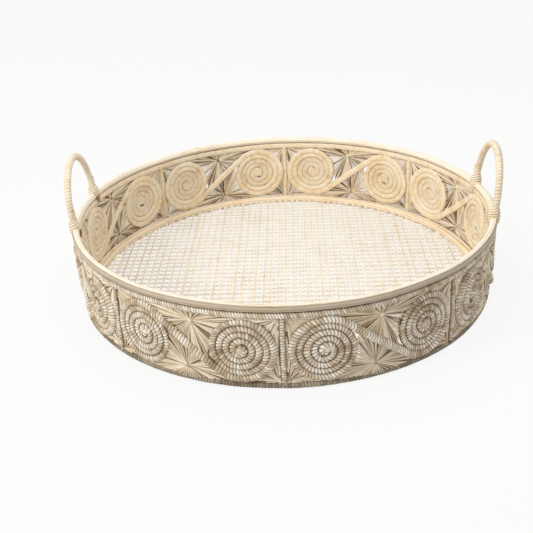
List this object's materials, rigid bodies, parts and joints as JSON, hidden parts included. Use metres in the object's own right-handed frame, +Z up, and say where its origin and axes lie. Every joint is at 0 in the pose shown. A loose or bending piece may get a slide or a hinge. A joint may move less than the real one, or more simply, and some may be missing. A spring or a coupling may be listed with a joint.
{
  "type": "winnowing basket",
  "caption": "Round open tray basket of wire wrapped in palm straw, with an openwork wall of S scrolls and straw stars, a woven sieve floor and upright loop handles.",
  "frame": {"origin": "on the basket's axis, at the underside of the base hoop", "axes": "+Z up along the axis; the handles stand at +X and -X; the front, with a post in its middle, faces -Y"},
  "size_m": [0.4622, 0.46, 0.152],
  "materials": {
    "wrapped_straw": "matte",
    "loose_straw": "matte",
    "woven_floor": "matte",
    "core_wire": "satin"
  },
  "bodies": {
    "root": {"rim_hoop": "wrapped_straw", "lower_rim_hoop": "wrapped_straw", "base_hoop": "wrapped_straw", "floor_hoop": "wrapped_straw", "post_1": "wrapped_straw", "post_2": "wrapped_straw", "post_3": "wrapped_straw", "post_4": "wrapped_straw", "post_5": "wrapped_straw", "post_6": "wrapped_straw", "post_7": "wrapped_straw", "post_8": "wrapped_straw", "scroll_1": "wrapped_straw", "scroll_2": "wrapped_straw", "scroll_3": "wrapped_straw", "scroll_4": "wrapped_straw", "scroll_5": "wrapped_straw", "scroll_6": "wrapped_straw", "scroll_7": "wrapped_straw", "scroll_8": "wrapped_straw", "left_handle": "wrapped_straw", "left_handle_lashings": "wrapped_straw", "right_handle": "wrapped_straw", "right_handle_lashings": "wrapped_straw", "lower_star_1": "loose_straw", "upper_star_1": "loose_straw", "corner_fans_1": "loose_straw", "lower_star_2": "loose_straw", "upper_star_2": "loose_straw", "corner_fans_2": "loose_straw", "lower_star_3": "loose_straw", "upper_star_3": "loose_straw", "corner_fans_3": "loose_straw", "lower_star_4": "loose_straw", "upper_star_4": "loose_straw", "corner_fans_4": "loose_straw", "lower_star_5": "loose_straw", "upper_star_5": "loose_straw", "corner_fans_5": "loose_straw", "lower_star_6": "loose_straw", "upper_star_6": "loose_straw", "corner_fans_6": "loose_straw", "lower_star_7": "loose_straw", "upper_star_7": "loose_straw", "corner_fans_7": "loose_straw", "lower_star_8": "loose_straw", "upper_star_8": "loose_straw", "corner_fans_8": "loose_straw", "floor_warp": "woven_floor", "floor_weft": "woven_floor", "rim_wire": "core_wire", "lower_rim_wire": "core_wire", "base_wire": "core_wire", "floor_wire": "core_wire", "post_wires": "core_wire", "scroll_wires": "core_wire", "left_handle_wire": "core_wire", "right_handle_wire": "core_wire"}
  },
  "joints": []
}
